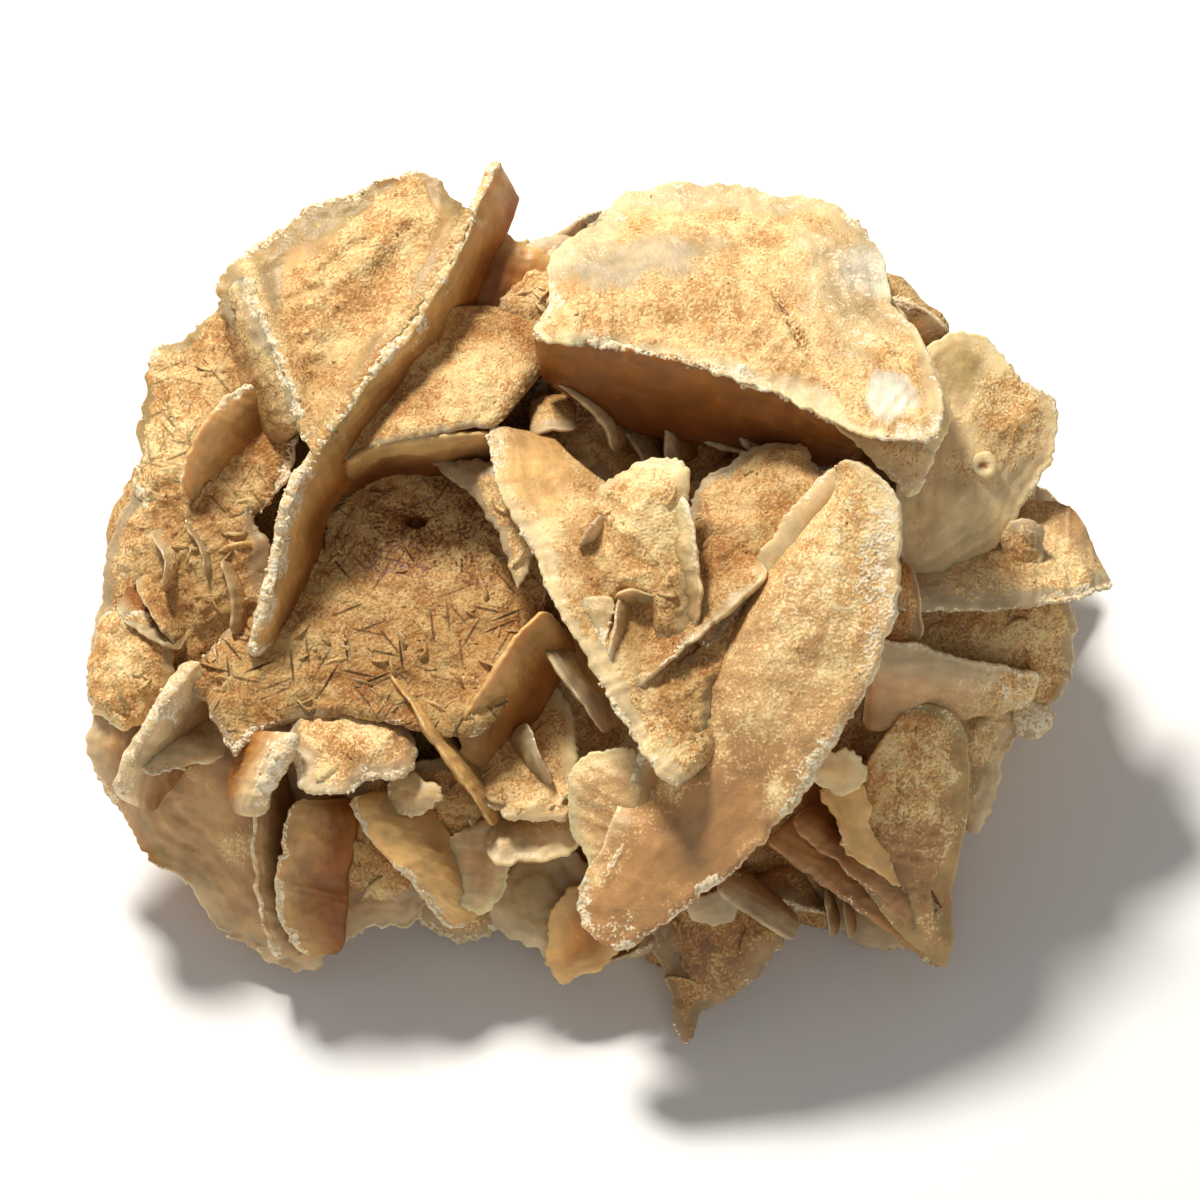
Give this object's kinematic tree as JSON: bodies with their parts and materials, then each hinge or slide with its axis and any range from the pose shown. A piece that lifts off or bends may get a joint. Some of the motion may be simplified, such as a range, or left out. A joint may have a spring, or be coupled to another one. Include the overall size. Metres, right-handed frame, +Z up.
{
  "type": "gypsum sand rose",
  "caption": "Sand rose: a natural cluster of intergrown, lens-shaped gypsum crystals with golden sandy faces, amber undersides and pale worn rims.",
  "frame": {"origin": "middle of the rose's box, on the plane of its flat broken base", "axes": "+X along the rose's longest side, to the right as seen from the front; +Y from the front to the back; +Z up from the base"},
  "size_m": [0.1033, 0.087, 0.0543],
  "materials": {
    "sandy_gypsum": "matt golden sand crust on the faces, smooth honey-amber translucent undersides and rims, white crumbly worn edges"
  },
  "bodies": {
    "root": {"sand_rose": "sandy_gypsum"}
  },
  "joints": []
}
